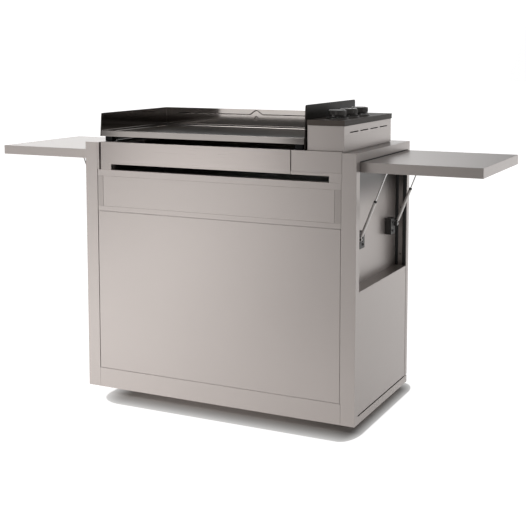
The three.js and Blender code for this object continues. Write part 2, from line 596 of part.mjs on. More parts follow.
function gasManifold() {
  const { x, z, radius, bore, front, nozzle, nozzleRadius } = MANIFOLD;
  const pipe = bar('y', radius, [x, z], front, CHASSIS.back + CUT);
  const inlet = bar('y', nozzleRadius, [x, z], CHASSIS.back, nozzle);
  const gasway = bar('y', bore, [x, z], front + 2 * SHEET, nozzle + CUT);
  const valves = Object.values(KNOB_Y).map((y) => join(
    box([KNOB_X - VALVE.halfX, x], [y - VALVE.halfY, y + VALVE.halfY], [VALVE.low, z + radius]),
    bar('z', VALVE.neck, [KNOB_X, y], z, VALVE.top),
  ));
  const stemBores = Object.values(KNOB_Y).map((y) => (
    bar('z', STEM.bore, [KNOB_X, y], VALVE.boreLow, VALVE.top + CUT)));
  part('gas_manifold', cut(join(pipe, inlet, ...valves), gasway, ...stemBores), 'brass');
}

// A closed tube, fed through its neck.
function burner(place, y) {
  const { radius, neck, z, left, right } = BURNER;
  const valveFace = KNOB_X - VALVE.halfX - FIT;
  const tube = join(bar('x', radius, [y, z], left, right), bar('x', neck, [y, z], right - CUT, valveFace));
  const hollow = join(
    bar('x', radius - SHEET, [y, z], left + SHEET, right - SHEET),
    bar('x', neck - SHEET, [y, z], right - 2 * SHEET, valveFace + CUT),
  );
  part(`burner_${place}`, cut(tube, hollow), 'steel');
}

// ---- assembly ----
const doorPivot = { at: [DOOR.left + 15, DOOR.front + 6], radius: 3 };
const sides = { left: -1, right: 1 };
const ends = { front: -1, rear: 1 };

for (const [side, s] of Object.entries(sides)) {
  sideFrame(`side_frame_${side}`, s);
  recessPanel(`recess_panel_${side}`, s);
  lowerSidePanel(`lower_side_panel_${side}`, s);
  drawerRunner(`drawer_runner_${side}`, s);
  shelf(side, s);
  for (const [end, e] of Object.entries(ends)) {
    strutBlock(`strut_bracket_${end}_${side}`, s, e);
    strut(`${end}_${side}`, s, e);
    caster(`${end}_${side}`, s, e);
  }
}
baseTray();
frontBottomRail(doorPivot);
midRail(doorPivot);
frontTopRail();
backPanel();
door(doorPivot);
drawerFront();
drawerBox();
chassis();
greaseTray();
griddlePlate();
splashGuard();
heatShield();
controlHousing();
controlCover();
gasManifold();
for (const [place, y] of Object.entries(KNOB_Y)) {
  knob(place, y);
  burner(place, y);
}

export default griddle;
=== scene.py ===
"""Looks for the gas flat-top griddle on its closed steel trolley.

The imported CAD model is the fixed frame. Its nodes keep their shape and get bevelled edges and
procedural materials; the finer pieces ride on its bodies. Metres, +Z up, operator at -Y.
"""

import math

import bmesh
import bpy
from mathutils import Matrix, Vector


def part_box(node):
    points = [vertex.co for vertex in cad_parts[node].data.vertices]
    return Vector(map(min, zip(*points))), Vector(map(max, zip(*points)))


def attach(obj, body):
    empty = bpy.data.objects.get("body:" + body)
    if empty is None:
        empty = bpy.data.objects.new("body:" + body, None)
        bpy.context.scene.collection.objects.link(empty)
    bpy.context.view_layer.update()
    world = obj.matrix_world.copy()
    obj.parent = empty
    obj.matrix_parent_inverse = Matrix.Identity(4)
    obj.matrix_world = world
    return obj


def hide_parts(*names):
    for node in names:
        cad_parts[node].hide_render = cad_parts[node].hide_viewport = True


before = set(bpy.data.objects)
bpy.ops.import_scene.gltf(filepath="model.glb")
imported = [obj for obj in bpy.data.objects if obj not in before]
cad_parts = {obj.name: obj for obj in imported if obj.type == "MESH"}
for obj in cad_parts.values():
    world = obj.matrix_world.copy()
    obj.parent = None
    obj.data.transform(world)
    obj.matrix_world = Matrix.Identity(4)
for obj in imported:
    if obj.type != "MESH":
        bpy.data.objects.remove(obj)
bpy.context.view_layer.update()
MM = 0.001

# ---- camera ----
CAMERA_AT = (1.725, -3.43, 1.26)
CAMERA_HEADING = 25.9
CAMERA_PITCH = 5.75
CAMERA_LENS = 72.3
CAMERA_SHIFT = -0.2

camera_data = bpy.data.cameras.new("camera")
camera_data.lens = CAMERA_LENS
camera_data.shift_y = CAMERA_SHIFT
camera_data.clip_end = 100
camera = bpy.data.objects.new("camera", camera_data)
camera.location = CAMERA_AT
camera.rotation_euler = (math.radians(90 - CAMERA_PITCH), 0, math.radians(CAMERA_HEADING))
bpy.context.scene.collection.objects.link(camera)
bpy.context.scene.camera = camera


# ---- node graphs ----
class Graph:
    """A node tree with a short way to add and link nodes."""

    def __init__(self, tree):
        self.tree = tree

    def add(self, kind, inputs=None, **settings):
        node = self.tree.nodes.new(kind)
        for key, value in settings.items():
            setattr(node, key, value)
        for key, value in (inputs or {}).items():
            self.put(node.inputs[key], value)
        return node

    def put(self, socket, value):
        if isinstance(value, bpy.types.NodeSocket):
            self.tree.links.new(value, socket)
        else:
            socket.default_value = value

    def maths(self, operation, *values):
        return self.add("ShaderNodeMath", dict(enumerate(values)), operation=operation).outputs[0]

    def dot(self, one, other):
        """The dot product of two vectors."""
        node = self.add("ShaderNodeVectorMath", {0: one, 1: other}, operation="DOT_PRODUCT")
        return node.outputs["Value"]

    def parts(self, vector):
        """The X, Y and Z of a vector."""
        return self.add("ShaderNodeSeparateXYZ", {0: vector}).outputs

    def span(self, value, low, high, to_low=0.0, to_high=1.0):
        """Maps low..high to to_low..to_high, smoothly and clamped."""
        inputs = {"Value": value, "From Min": low, "From Max": high, "To Min": to_low, "To Max": to_high}
        return self.add("ShaderNodeMapRange", inputs, interpolation_type="SMOOTHSTEP").outputs["Result"]

    def mix(self, factor, low, high):
        node = self.add("ShaderNodeMix", data_type="RGBA")
        self.put(node.inputs["Factor"], factor)
        self.put(node.inputs[6], low)
        self.put(node.inputs[7], high)
        return node.outputs[2]

    def noise(self, vector, scale, detail=2.0, rough=0.5):
        inputs = {"Vector": vector, "Scale": scale, "Detail": detail, "Roughness": rough}
        return self.add("ShaderNodeTexNoise", inputs).outputs["Fac"]

    def stretched(self, vector, scale):
        return self.add("ShaderNodeMapping", {"Vector": vector, "Scale": scale}).outputs[0]

    def bump(self, height, strength, distance, normal=None):
        inputs = {"Height": height, "Strength": strength, "Distance": distance}
        if normal is not None:
            inputs["Normal"] = normal
        return self.add("ShaderNodeBump", inputs).outputs[0]


class Finish(Graph):
    """A procedural material on one Principled shader."""

    def __init__(self, name, **uniform):
        self.material = bpy.data.materials.new(name)
        self.material.use_nodes = True
        super().__init__(self.material.node_tree)
        self.shader = self.tree.nodes["Principled BSDF"]
        self.at = self.add("ShaderNodeTexCoord").outputs["Object"]
        for key, value in uniform.items():
            self.shader.inputs[key.replace("_", " ")].default_value = value

    def set(self, **linked):
        for key, value in linked.items():
            self.put(self.shader.inputs[key.replace("_", " ")], value)

    def wear(self, radius=0.8 * MM, low=0.02, high=0.3):
        """1 on convex edges, 0 on faces."""
        normal = self.add("ShaderNodeNewGeometry").outputs["Normal"]
        rounded = self.add("ShaderNodeBevel", {"Radius": radius}, samples=4).outputs[0]
        return self.span(self.maths("SUBTRACT", 1.0, self.dot(rounded, normal)), low, high)

    def grain(self, long, fine):
        """Fine level lines on upright faces, and fine lines along X on level ones."""
        upright = self.noise(self.stretched(self.at, (long, long, fine)), 1.0, 2.0, 0.6)
        level = self.noise(self.stretched(self.at, (long, fine, fine)), 1.0, 2.0, 0.6)
        normal = self.add("ShaderNodeNewGeometry").outputs["True Normal"]
        lie = self.maths("ABSOLUTE", self.parts(normal)[2])
        return self.maths("ADD", self.maths("MULTIPLY", upright, self.maths("SUBTRACT", 1.0, lie)),
                          self.maths("MULTIPLY", level, lie))


def shade(colour, factor):
    """A colour made lighter or darker, with its alpha."""
    return (*[channel * factor for channel in colour], 1.0)


def sheet_steel(name, colour, rough, metallic, spread=0.03, grain=0.08, waviness=0.08, streaks=0.06,
                painted_top_shade=None):
    """Satin sheet steel with a fine grain along its length and a faint unevenness of the sheet.
    The last argument darkens the steel above a height, as painted shade: a height where it sets in, one where
    it is full, and how dark it is there.
    """
    m = Finish(name, Metallic=metallic)
    lines = m.grain(6, 900)
    clouds = m.noise(m.at, 3.5, 3.0)
    tone = m.maths("ADD", m.maths("MULTIPLY", clouds, 0.6), m.maths("MULTIPLY", lines, 0.4))
    base = m.mix(tone, shade(colour, 1 - spread), shade(colour, 1 + spread))
    # Painted shade: the steel gets darker towards the top.
    if painted_top_shade:
        low, high, depth = painted_top_shade
        base = m.mix(m.span(m.parts(m.at)[2], low, high), base, shade(colour, depth))
    m.set(Base_Color=m.mix(m.wear(0.7 * MM), base, shade(colour, 1.15)))
    m.set(Roughness=m.maths("ADD", rough - streaks / 2, m.maths("MULTIPLY", lines, streaks)))
    wave = m.bump(m.noise(m.at, 2.2, 1.0), waviness, 0.006)
    m.set(Normal=m.bump(lines, grain, 0.00004, wave))
    return m.material


def enamel(name, colour, rough, under):
    """Glossy black enamel, which mirrors softly. Below a height, on the plate's feet, it is matt."""
    m = Finish(name, Metallic=1.0)
    clouds = m.noise(m.at, 9.0, 4.0, 0.6)
    base = m.mix(clouds, shade(colour, 0.9), shade(colour, 1.1))
    feet = m.maths("LESS_THAN", m.parts(m.at)[2], under)
    base = m.mix(feet, base, (0.01, 0.01, 0.01, 1))
    m.set(Base_Color=m.mix(m.wear(1.2 * MM), base, shade(colour, 1.2)))
    gloss = m.maths("ADD", rough - 0.02, m.maths("MULTIPLY", clouds, 0.04))
    m.set(Roughness=m.maths("ADD", gloss, m.maths("MULTIPLY", feet, 0.12)))
    m.set(Normal=m.bump(m.noise(m.at, 260.0, 2.0), 0.03, 0.0002))
    return m.material


def seasoning(name, colour, middle, core, rim):
    """The burnt-on oil of a cooking surface, darkest round its middle, with scraper marks along it."""
    m = Finish(name, IOR=1.06)
    clouds = m.noise(m.at, 11.0, 4.0, 0.6)
    off = m.maths("ABSOLUTE", m.maths("SUBTRACT", m.parts(m.at)[0], middle))
    off = m.maths("ADD", off, m.maths("MULTIPLY", m.maths("SUBTRACT", clouds, 0.5), 0.08))
    dark = m.mix(clouds, shade(colour, 0.85), shade(colour, 1.15))
    m.set(Base_Color=m.mix(m.span(off, core, rim), dark, shade(colour, 2.4)))
    scrapes = m.noise(m.stretched(m.at, (3, 160, 1)), 1.0, 3.0)
    m.set(Roughness=m.maths("ADD", 0.3, m.maths("MULTIPLY", scrapes, 0.1)))
    m.set(Normal=m.bump(m.noise(m.at, 300.0, 2.0), 0.1, 0.0001))
    return m.material


def plain(name, colour, rough, metallic=0.0, spread=0.12, grain=0.2, ior=1.5):
    """A plastic, a paint or a small plain metal, faintly mottled."""
    m = Finish(name, Metallic=metallic, IOR=ior)
    fine = m.noise(m.at, 600.0, 2.0)
    clouds = m.noise(m.at, 25.0, 3.0, 0.6)
    base = m.mix(clouds, shade(colour, 1 - spread), shade(colour, 1 + spread))
    m.set(Base_Color=m.mix(m.wear(), base, shade(colour, 1.6)))
    m.set(Roughness=m.maths("ADD", rough - 0.04, m.maths("MULTIPLY", clouds, 0.09)))
    m.set(Normal=m.bump(fine, grain, 0.0001))
    return m.material


PLATE_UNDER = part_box("splash_guard")[0].z - 0.2 * MM
STEEL = (0.38, 0.343, 0.325)
FINISHES = {
    "cabinet_steel": sheet_steel("cabinet_steel", STEEL, 0.36, 0.6),
    # The recess panels carry painted shade at their top, where the shelf above shades them.
    "recess_steel": sheet_steel("recess_steel", STEEL, 0.36, 0.6, painted_top_shade=(0.72, 0.83, 0.2)),
    "chassis_steel": sheet_steel("chassis_steel", STEEL, 0.34, 0.7),
    "bright_steel": sheet_steel("bright_steel", (0.36, 0.325, 0.308), 0.27, 0.95,
                                spread=0.02, grain=0.02, waviness=0.04, streaks=0.02),
    "black_enamel": enamel("black_enamel", (0.23, 0.212, 0.20), 0.13, PLATE_UNDER),
    "guard_enamel": enamel("guard_enamel", (0.33, 0.304, 0.287), 0.095, PLATE_UNDER),
    "shield_enamel": plain("shield_enamel", (0.020, 0.0165, 0.014), 0.4, ior=1.2),
    # A darker copy of the cabinet steel: painted shade on the drawer front's side bands.
    "shaded_stile_steel": sheet_steel("shaded_stile_steel", (0.325, 0.293, 0.276), 0.36, 0.6),
    "seasoned_steel": seasoning("seasoned_steel", (0.027, 0.024, 0.021), -0.08, 0.08, 0.30),
    "dark_cover": plain("dark_cover", (0.060, 0.048, 0.041), 0.5, ior=1.25),
    "knob_plastic": plain("knob_plastic", (0.085, 0.080, 0.075), 0.28, 0.5),
    "dial_metal": plain("dial_metal", (0.16, 0.155, 0.15), 0.3, 1.0),
    "black_bracket": plain("black_bracket", (0.034, 0.031, 0.029), 0.5),
    "strut_paint": plain("strut_paint", (0.60, 0.57, 0.55), 0.3, 0.3),
    "chrome_rod": plain("chrome_rod", (0.66, 0.65, 0.64), 0.22, 1.0, spread=0.03, grain=0.05),
    "zinc_steel": plain("zinc_steel", (0.52, 0.52, 0.51), 0.38, 1.0, 0.15),
    "burner_steel": plain("burner_steel", (0.38, 0.34, 0.31), 0.45, 1.0, 0.3),
    "brass": plain("brass", (0.58, 0.42, 0.18), 0.3, 1.0, 0.12),
    "wheel_rubber": plain("wheel_rubber", (0.022, 0.022, 0.022), 0.7, 0.0, 0.2),
}

# ---- CAD nodes: bevels and finishes ----
BEVEL = {"griddle_plate": 1.6, "splash_guard": 1.4, "heat_shield": 1.4}
SHEET_BEVEL = 0.65
# Nodes whose finish differs from their slot's.
OWN_FINISH = {
    "heat_shield": "shield_enamel",
    "recess_panel_left": "recess_steel",
    "recess_panel_right": "recess_steel",
}


def shade_smooth_group():
    tree = bpy.data.node_groups.new("shade_smooth", "GeometryNodeTree")
    tree.interface.new_socket("Geometry", in_out="INPUT", socket_type="NodeSocketGeometry")
    tree.interface.new_socket("Geometry", in_out="OUTPUT", socket_type="NodeSocketGeometry")
    g = Graph(tree)
    start = g.add("NodeGroupInput").outputs[0]
    bare = g.add("GeometryNodeRemoveAttribute", {"Geometry": start, "Name": "custom_normal"}).outputs[0]
    edges = g.add("GeometryNodeSetShadeSmooth", {0: bare}, domain="EDGE").outputs[0]
    faces = g.add("GeometryNodeSetShadeSmooth", {0: edges}, domain="FACE").outputs[0]
    g.add("NodeGroupOutput", {0: faces})
    return tree


SMOOTH = shade_smooth_group()


def soften(piece, width, segments=2, sharp=28):
    """Rounds the edges sharper than an angle in degrees with modifiers, the mesh left alone."""
    weld = piece.modifiers.new("weld", "WELD")
    weld.merge_threshold = 0.02 * MM
    flat = piece.modifiers.new("flat", "DECIMATE")
    flat.decimate_type = "DISSOLVE"
    flat.angle_limit = math.radians(0.5)
    piece.modifiers.new("smooth", "NODES").node_group = SMOOTH
    bevel = piece.modifiers.new("bevel", "BEVEL")
    bevel.width = width
    bevel.segments = segments
    bevel.limit_method = "ANGLE"
    bevel.angle_limit = math.radians(sharp)
    bevel.use_clamp_overlap = False
    normals = piece.modifiers.new("normals", "WEIGHTED_NORMAL")
    normals.weight = 80


for name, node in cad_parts.items():
    slot = node.material_slots[0]
    slot.material = FINISHES[OWN_FINISH.get(name, slot.material.name.split(".")[0])]
    soften(node, BEVEL.get(name, SHEET_BEVEL) * MM)


# ---- pieces ----
class Shape:
    """Closed solids in millimetres, gathered for one piece."""

    def __init__(self):
        self.bm = bmesh.new()

    def rings(self, rings, closed=False):
        """Skins a run of point rings. The ends are capped, or joined when the run is closed."""
        loops = [[self.bm.verts.new(point) for point in ring] for ring in rings]
        pairs = list(zip(loops, loops[1:]))
        if closed:
            pairs.append((loops[-1], loops[0]))
        for near, far in pairs:
            for i, j in zip(range(len(near)), [*range(1, len(near)), 0]):
                self.bm.faces.new((near[i], near[j], far[j], far[i]))
        if not closed:
            self.bm.faces.new(loops[0][::-1])
            self.bm.faces.new(loops[-1])
        return self

    def block(self, x, y, z):
        return self.rings([[(x[0], y[0], h), (x[1], y[0], h), (x[1], y[1], h), (x[0], y[1], h)] for h in z])

    def prism(self, outline, axis, low, high):
        """Extrudes an outline of points in the other two axes, in their own order."""
        return self.rings([[placed(axis, u, v, along) for u, v in outline] for along in (low, high)])

    def lathe(self, profile, axis="z", at=(0, 0, 0), sides=32, closed=False, flutes=0):
        """Turns (radius, along) points round an axis. A third value is how deep flutes cut at that point."""
        rings = []
        for radius, along, *cut in profile:
            depth = cut[0] if cut else 0.0
            ring = []
            for i in range(sides):
                angle = math.tau * i / sides
                reach = radius - depth * (0.5 + 0.5 * math.cos(flutes * angle))
                point = placed(axis, reach * math.cos(angle), reach * math.sin(angle), along)
                ring.append(tuple(a + b for a, b in zip(point, at)))
            rings.append(ring)
        return self.rings(rings, closed)

    def screw(self, axis, at, out=1, radius=3.2):
        """A round-headed screw with a socket, its head standing out along the axis."""
        profile = [(1, 0), (1, 0.5), (0.85, 1.3), (0.5, 1.7), (0.42, 1.6), (0.36, 0.7)]
        return self.lathe([(radius * r, out * h) for r, h in profile], axis, at, 20)

    def bolt(self, axis, at, out=1, radius=4.2):
        """A hexagon head on its washer."""
        self.lathe([(radius * 1.35, 0), (radius * 1.35, 0.8 * out), (radius * 1.25, out)], axis, at, 24)
        profile = [(1, 0.9), (1, 3.0), (0.86, 3.6), (0.7, 3.6), (0.6, 3.3)]
        return self.lathe([(radius * r, out * h) for r, h in profile], axis, at, 6)


def placed(axis, u, v, along):
    """Puts two coordinates and one along the axis in the order X, Y, Z."""
    return {"x": (along, u, v), "y": (u, along, v), "z": (u, v, along)}[axis]


def add_piece(name, shape, finish, body, bevel=0.3, place=None, stands_for=None):
    """Makes a piece of a shape, with its finish, and puts it on its body."""
    bm = shape.bm
    if place is not None:
        bmesh.ops.transform(bm, matrix=place, verts=bm.verts)
    bmesh.ops.scale(bm, vec=(MM, MM, MM), verts=bm.verts)
    bmesh.ops.recalc_face_normals(bm, faces=bm.faces)
    mesh = bpy.data.meshes.new(name)
    bm.to_mesh(mesh)
    bm.free()
    piece = bpy.data.objects.new(name, mesh)
    bpy.context.scene.collection.objects.link(piece)
    mesh.materials.append(FINISHES[finish])
    soften(piece, bevel * MM)
    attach(piece, body)
    if stands_for:
        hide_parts(stands_for)
    return piece


def low_high(node):
    """A node's box at rest, in millimetres."""
    low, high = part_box(node)
    return low / MM, high / MM


def arc(centre, radius, start, end, steps):
    """Points of an arc, its angles in degrees."""
    angles = [math.radians(start + (end - start) * i / steps) for i in range(steps + 1)]
    return [(centre[0] + radius * math.cos(a), centre[1] + radius * math.sin(a)) for a in angles]


def mirrored(half):
    """A lathe profile from its half below the middle, followed by the same half above it."""
    return half + [(radius, -along) for radius, along in reversed(half)]


SIDES = {"left": -1, "right": 1}
ENDS = {"front": -1, "rear": 1}
PLACES = ("front", "middle", "rear")


# ---- splash guard: an engraved line and a plain medallion on the rear wall ----
GUARD_LINE = {"below_top": 20.5, "inset": 56, "half_width": 1.7, "depth": 1.3}
ARCH = {"from_right": 398.5, "half": 31, "rise": 15.5, "steps": 24}
WALL = 4


def guard_line(left, right, face, height, arch_at):
    """A V-shaped cutter along the line and over its arch."""
    over_arch = [arch_at + ARCH["half"] * (2 * i / ARCH["steps"] - 1) for i in range(ARCH["steps"] + 1)]

    def lift(x):
        along = (x - arch_at) / ARCH["half"]
        return ARCH["rise"] * (0.5 + 0.5 * math.cos(math.pi * along)) if abs(along) < 1 else 0.0

    rings = []
    for x in (left, *over_arch, right):
        slope = lift(x + 0.5) - lift(x - 0.5)
        across = Vector((-slope, 1)).normalized() * GUARD_LINE["half_width"] * 2
        z = height + lift(x)
        rings.append([(x + across.x, face - GUARD_LINE["depth"], z + across.y),
                      (x - across.x, face - GUARD_LINE["depth"], z - across.y),
                      (x, face + GUARD_LINE["depth"], z)])
    return Shape().rings(rings)


def engraved_guard():
    """The guard with a line cut into its rear wall, and a medallion below the line's arch."""
    low, high = low_high("splash_guard")
    face = high.y - WALL
    arch_at = high.x - ARCH["from_right"] - WALL
    height = high.z - GUARD_LINE["below_top"]
    cutter_bm = guard_line(low.x + GUARD_LINE["inset"], high.x - 2 * WALL, face, height, arch_at).bm
    bmesh.ops.scale(cutter_bm, vec=(MM, MM, MM), verts=cutter_bm.verts)
    bmesh.ops.recalc_face_normals(cutter_bm, faces=cutter_bm.faces)
    cutter_mesh = bpy.data.meshes.new("guard_line")
    cutter_bm.to_mesh(cutter_mesh)
    cutter = bpy.data.objects.new("guard_line", cutter_mesh)
    bpy.context.scene.collection.objects.link(cutter)

    bm = bmesh.new()
    bm.from_mesh(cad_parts["splash_guard"].data)
    bmesh.ops.remove_doubles(bm, verts=bm.verts, dist=0.01 * MM)
    bmesh.ops.dissolve_limit(bm, angle_limit=math.radians(0.5), verts=bm.verts, edges=bm.edges)
    mesh = bpy.data.meshes.new("splash_guard_skin")
    bm.to_mesh(mesh)
    guard = bpy.data.objects.new("splash_guard_skin", mesh)
    bpy.context.scene.collection.objects.link(guard)
    cut = guard.modifiers.new("line", "BOOLEAN")
    cut.operation = "DIFFERENCE"
    cut.solver = "EXACT"
    cut.object = cutter
    evaluated = guard.evaluated_get(bpy.context.evaluated_depsgraph_get())
    bm.clear()
    bm.from_mesh(bpy.data.meshes.new_from_object(evaluated))
    bmesh.ops.scale(bm, vec=(1 / MM, 1 / MM, 1 / MM), verts=bm.verts)
    for spare in (guard, cutter):
        bpy.data.objects.remove(spare)
    shape = Shape()
    shape.bm.free()
    shape.bm = bm
    add_piece("splash_guard_skin", shape, "guard_enamel", "cabinet", 0.5, stands_for="splash_guard")
    disc = [(9, 0.5), (9, -0.7), (8.5, -1.2), (7.7, -1.2), (7.2, -0.7), (5.2, -0.7), (4.6, -1.1), (1.0, -1.3)]
    add_piece("guard_medallion", Shape().lathe(disc, "y", (arch_at, face, height - 13.5), 40), "bright_steel",
              "cabinet", 0.1)


# ---- griddle plate ----
PLATE_SURFACE = 967


def plate_fillet():
    """The rounded inside corner between the cooking surface and the rim round it."""
    low, high = low_high("griddle_plate")
    rim, radius, sink = 5, 5, 0.5
    section = [(-sink, -sink), *arc((radius, radius), radius, 270, 180, 5), (-sink, radius)]
    x0, x1, y0, y1 = low.x + rim, high.x - rim, low.y + rim, high.y - rim
    rings = []
    for u, h in section:
        z = PLATE_SURFACE + h
        rings.append([(x0 + u, y0 + u, z), (x1 - u, y0 + u, z), (x1 - u, y1 - u, z), (x0 + u, y1 - u, z)])
    add_piece("plate_fillet", Shape().rings(rings, closed=True), "black_enamel", "cabinet", 0.05)


def plate_seasoning():
    """The thin dark layer on the cooking surface, up to the fillet round it."""
    low, high = low_high("griddle_plate")
    inset, radius = 6.2, 5
    x0, x1 = low.x + inset + radius, high.x - inset - radius
    y0, y1 = low.y + inset + radius, high.y - inset - radius
    outline = []
    for corner, turn in (((x1, y1), 0), ((x0, y1), 90), ((x0, y0), 180), ((x1, y0), 270)):
        outline += arc(corner, radius, turn, turn + 90, 5)
    add_piece("plate_seasoning", Shape().prism(outline, "z", PLATE_SURFACE - 0.1, PLATE_SURFACE + 0.22),
              "seasoned_steel", "cabinet", 0.05)


def plate_baffle():
    """A strip that closes the gap under the plate's left edge, behind the front foot."""
    low, high = low_high("griddle_plate")
    foot, top = low_high("griddle_chassis")[1].z + 0.4, PLATE_UNDER / MM + 3
    start, slant, end = -185, 7, high.y - 2
    outline = [(start, foot), (end, foot), (end, top), (start + slant, top)]
    add_piece("plate_baffle", Shape().prism(outline, "x", low.x + 6.2, low.x + 8), "black_bracket",
              "cabinet", 0.2)


# ---- knobs ----
def knob(place):
    """A fluted knob with its pointer, the bezel round it and the marks of its dial."""
    low, high = low_high(f"knob_{place}")
    x, y = (low.x + high.x) / 2, (low.y + high.y) / 2
    base, top = low.z, high.z
    at = (x, y, 0)
    body = [(6, base + 0.2), (24, base + 0.2), (27.6, base), (28.6, base + 0.6), (29.2, base + 1.6),
            (28.8, base + 2.8), (27.4, base + 3.4), (27.4, base + 4.2), (29.0, base + 5.0),
            (29.9, base + 5.8, 0.2), (30.2, base + 7.0, 1.1), (29.9, top - 7.5, 1.1), (29.6, top - 5.6, 0.8),
            (29.0, top - 4.0, 0.1), (28.0, top - 2.8), (26.6, top - 2.1), (25.2, top - 2.1),
            (24.4, top - 2.6), (22.5, top - 3.0), (6, top - 3.2)]
    add_piece(f"knob_cap_{place}", Shape().lathe(body, "z", at, 144, flutes=36), "knob_plastic",
              f"knob_{place}", 0.1, stands_for=f"knob_{place}")
    pointer = [(x - 1.3, y - 24.2), (x + 1.3, y - 24.2), (x + 1.0, y - 10), (x - 1.0, y - 10)]
    add_piece(f"knob_pointer_{place}", Shape().prism(pointer, "z", top - 4, top - 1.9), "zinc_steel",
              f"knob_{place}", 0.15)
    cover_top = low_high("control_cover")[1].z
    rim = [(35.2, -0.2), (36.1, -0.2), (36.1, -3.1), (37.6, -3.1), (37.6, -2.6), (36.9, -1.9), (36.9, 0.4),
           (36.5, 0.9), (35.7, 0.9), (35.2, 0.4)]
    ring = Shape().lathe([(r, cover_top + h) for r, h in rim], "z", at, 72, closed=True)
    add_piece(f"knob_bezel_{place}", ring, "dial_metal", "cabinet", 0.08)
    marks = Shape()
    dial = 33.9
    for step in range(8):
        angle = math.radians(-90 - 30 * step)
        spot = (x + dial * math.cos(angle), y + dial * math.sin(angle), cover_top)
        size = 0.45 + 0.06 * step
        marks.lathe([(size, 0.6), (size, 1.3), (size * 0.7, 1.5)], "z", spot, 12)
    add_piece(f"knob_marks_{place}", marks, "knob_plastic", "cabinet", 0.05)


# ---- struts ----
# Where a strut's lower and upper pivots are, on the right side.
STRUT = {"x": 507, "y": 185, "z": 640, "to_x": 602, "to_z": 880}
BRACKET_FACE = 504
BRACKET_BOLTS = 152


def eye(bore, outer, chamfer):
    """The profile of the round eye at an end of a strut."""
    return mirrored([(bore, -3.6), (outer - chamfer, -3.6), (outer, -3.2)])


def strut(end, side):
    """A strut's tube, seal and rod, built upright and then leant into place."""
    s, e = SIDES[side], ENDS[end]
    name = f"{end}_{side}"
    run, rise = STRUT["to_x"] - STRUT["x"], STRUT["to_z"] - STRUT["z"]
    length = math.hypot(run, rise)
    turned = Matrix.Rotation(s * math.atan2(run, rise), 4, "Y")
    place = Matrix.Translation((s * STRUT["x"], e * STRUT["y"], STRUT["z"])) @ turned
    wall = [(2.6, 5.6), (2.6, 11), (3.4, 12.4), (4.6, 13.2), (5.2, 14.6), (5.4, 16), (5.4, 124), (5.0, 125),
            (5.0, 126.4), (5.4, 127.4), (5.4, 134), (4.8, 136), (3.6, 137.6), (2.9, 137.6), (2.9, 46)]
    tube = Shape().lathe(wall, sides=40)
    tube.lathe(eye(3.9, 6.8, 0.4), "y", sides=32, closed=True)
    add_piece(f"strut_tube_{name}", tube, "strut_paint", f"strut_cylinder_{name}", 0.1, place,
              f"strut_cylinder_{name}")
    wiper = [(3.0, 137.2), (4.7, 136.4), (5.3, 137.2), (5.3, 141.5), (4.7, 142.6), (3.0, 142.6)]
    add_piece(f"strut_seal_{name}", Shape().lathe(wiper, sides=32, closed=True), "wheel_rubber",
              f"strut_cylinder_{name}", 0.1, place)
    shaft = [(2.5, 134), (2.5, length - 20), (3.4, length - 19), (3.4, length - 8), (2.8, length - 5.8)]
    rod = Shape().lathe(shaft, sides=32)
    rod.lathe(eye(4.4, 6.5, 0.3), "y", (0, 0, length), 32, closed=True)
    add_piece(f"strut_piston_{name}", rod, "chrome_rod", f"strut_rod_{name}", 0.1, place,
              f"strut_rod_{name}")


def strut_mount_bolts(end, side):
    """The bolts that hold a strut's bracket to the wall of the recess."""
    low, high = low_high(f"strut_bracket_{end}_{side}")
    s, e = SIDES[side], ENDS[end]
    inset = 13
    bolts = Shape()
    for z in (low.z + inset, high.z - inset):
        bolts.bolt("x", (s * BRACKET_FACE, e * BRACKET_BOLTS, z), s, 3.6)
    add_piece(f"strut_mount_bolts_{end}_{side}", bolts, "black_bracket", "cabinet", 0.15)


# ---- side recess: a rubber seal down the inner face of each rear post ----
def recess_seal(side):
    """The dark seal on the rear stile of the recess, and the screwed strip that holds it.
    It stays clear of the folded shelf."""
    s = SIDES[side]
    face, low, high = 248, 477.5, 904.5
    outline = [(481.5, -0.2), (481.5, -2.8), (483, -3.3), (492, -3.3), (494, -2.0), (495, -0.9), (509, -0.9),
               (510, -2.0), (512, -3.3), (520, -3.3), (522.5, -2.4), (522.5, -0.2)]
    add_piece(f"recess_seal_{side}", Shape().prism([(s * x, face + y) for x, y in outline], "z", low, high),
              "wheel_rubber", "cabinet", 0.3)
    strip = Shape().block((s * 496.5, s * 507.5), (face - 1.6, face - 0.8), (low + 6, high - 6))
    for z in (low + 40, (low + high) / 2, high - 40):
        strip.screw("y", (s * 502.5, face - 1.6, z), -1, 2.6)
    add_piece(f"recess_strip_{side}", strip, "black_bracket", "cabinet", 0.2)


